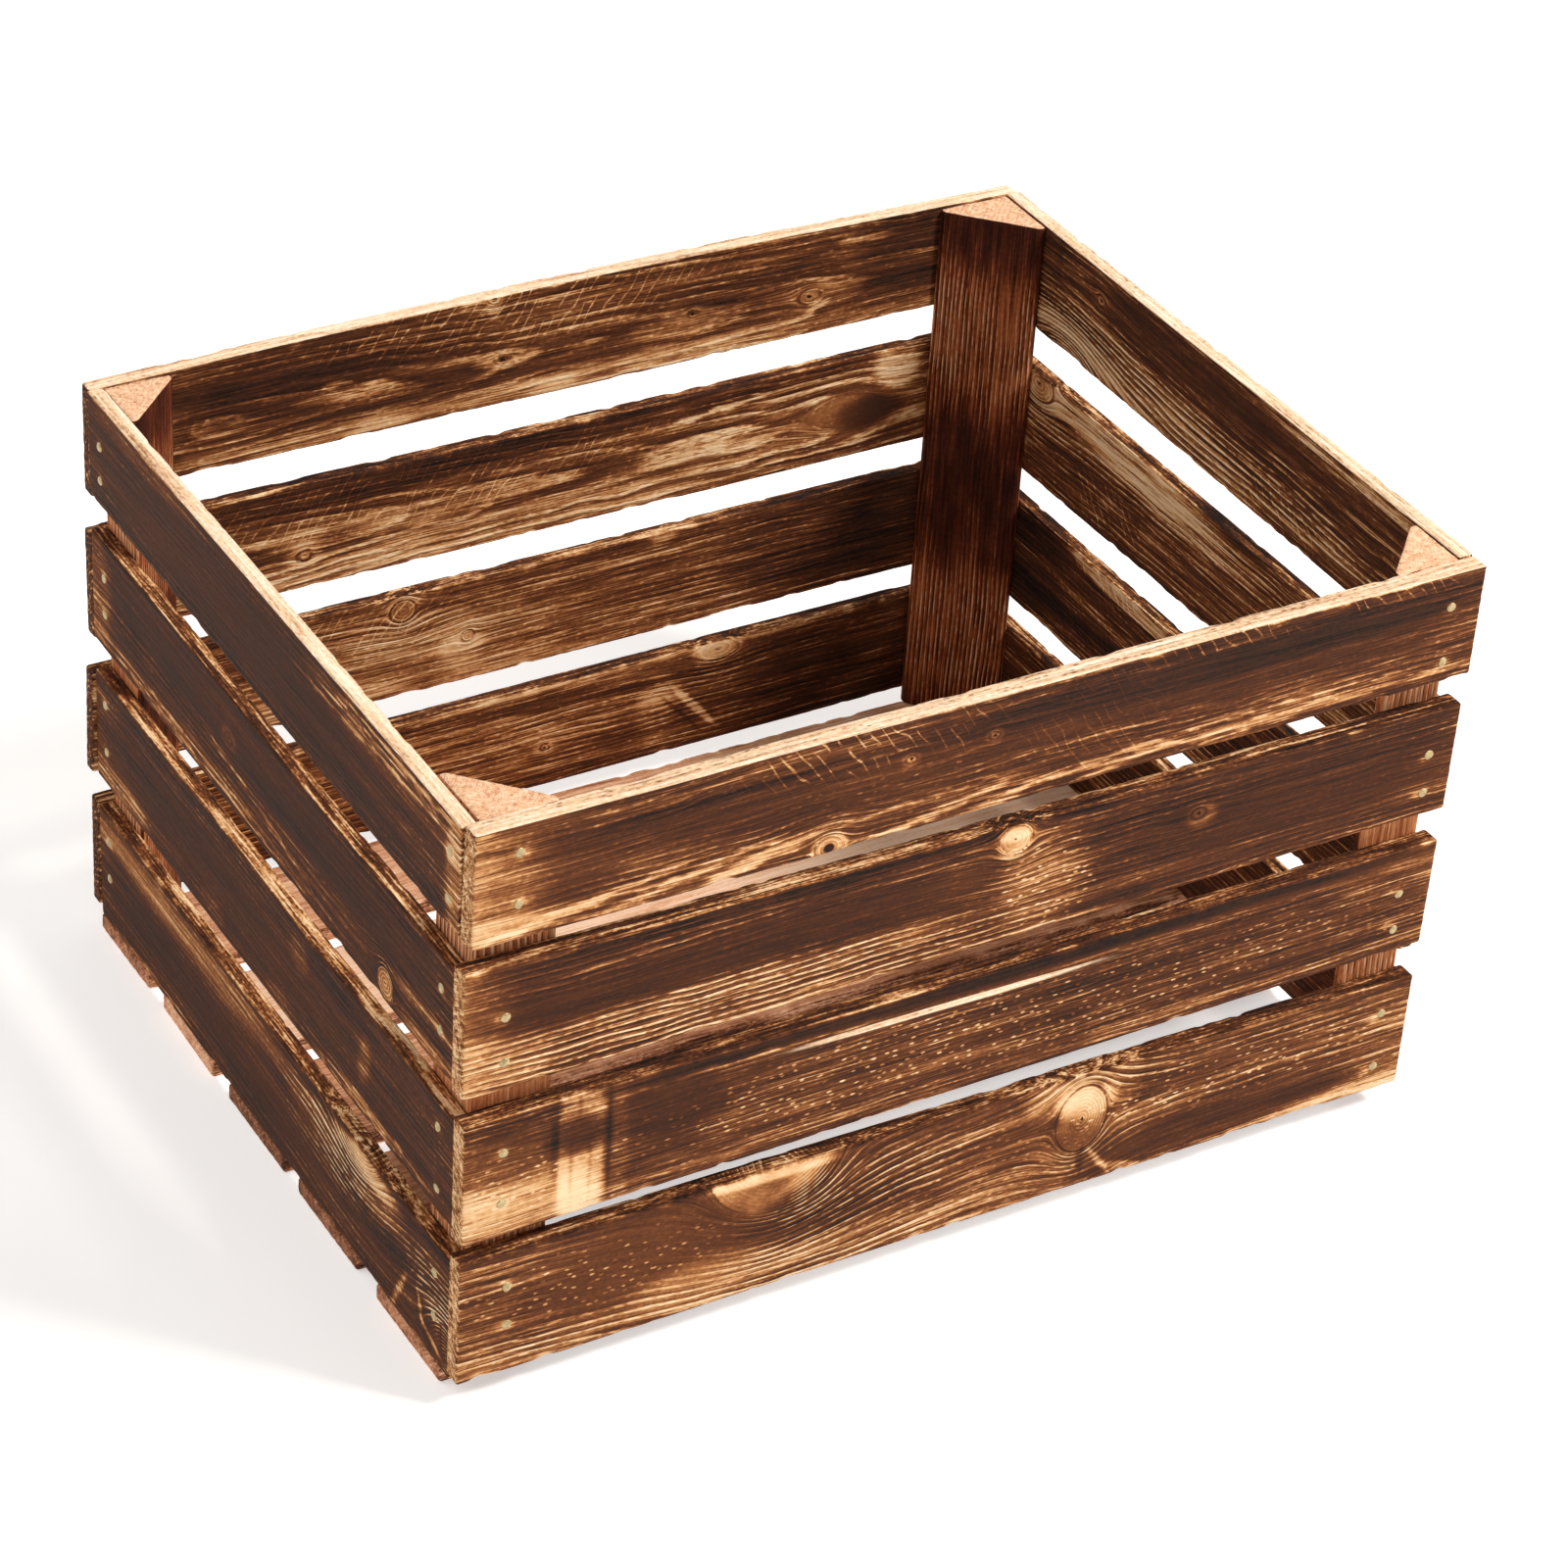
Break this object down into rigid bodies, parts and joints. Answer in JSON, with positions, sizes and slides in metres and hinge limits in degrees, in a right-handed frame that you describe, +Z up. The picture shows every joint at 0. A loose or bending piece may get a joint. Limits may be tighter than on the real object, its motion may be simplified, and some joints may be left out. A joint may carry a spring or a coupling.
{
  "type": "slatted wooden crate",
  "caption": "Open rectangular fruit crate of rough-sawn scorched slats nailed to triangular corner posts, on spaced bottom boards.",
  "frame": {"origin": "on the ground under the middle of the crate, at the centre of its footprint", "axes": "+X along the long walls, +Y from the front wall to the back wall, +Z up; the front wall faces -Y"},
  "size_m": [0.5008, 0.4008, 0.3],
  "materials": {
    "flamed_slats": "rough-sawn softwood, flame-scorched dark brown with paler early wood, unburnt along the rim's top edge",
    "post_wood": "sawn softwood, scorched inner face, pale unburnt top end",
    "bottom_wood": "rough-sawn softwood, lightly scorched, pinkish",
    "nail_steel": "dull zinc-plated wire nails"
  },
  "bodies": {
    "root": {"front_slat_1": "flamed_slats", "front_slat_2": "flamed_slats", "front_slat_3": "flamed_slats", "front_slat_4": "flamed_slats", "right_slat_1": "flamed_slats", "right_slat_2": "flamed_slats", "right_slat_3": "flamed_slats", "right_slat_4": "flamed_slats", "back_slat_1": "flamed_slats", "back_slat_2": "flamed_slats", "back_slat_3": "flamed_slats", "back_slat_4": "flamed_slats", "left_slat_1": "flamed_slats", "left_slat_2": "flamed_slats", "left_slat_3": "flamed_slats", "left_slat_4": "flamed_slats", "post_front_left": "post_wood", "post_front_right": "post_wood", "post_back_right": "post_wood", "post_back_left": "post_wood", "bottom_board_1": "bottom_wood", "bottom_board_2": "bottom_wood", "bottom_board_3": "bottom_wood", "bottom_board_4": "bottom_wood", "bottom_board_5": "bottom_wood", "nails_front": "nail_steel", "nails_right": "nail_steel", "nails_back": "nail_steel", "nails_left": "nail_steel", "nails_bottom": "nail_steel"}
  },
  "joints": []
}
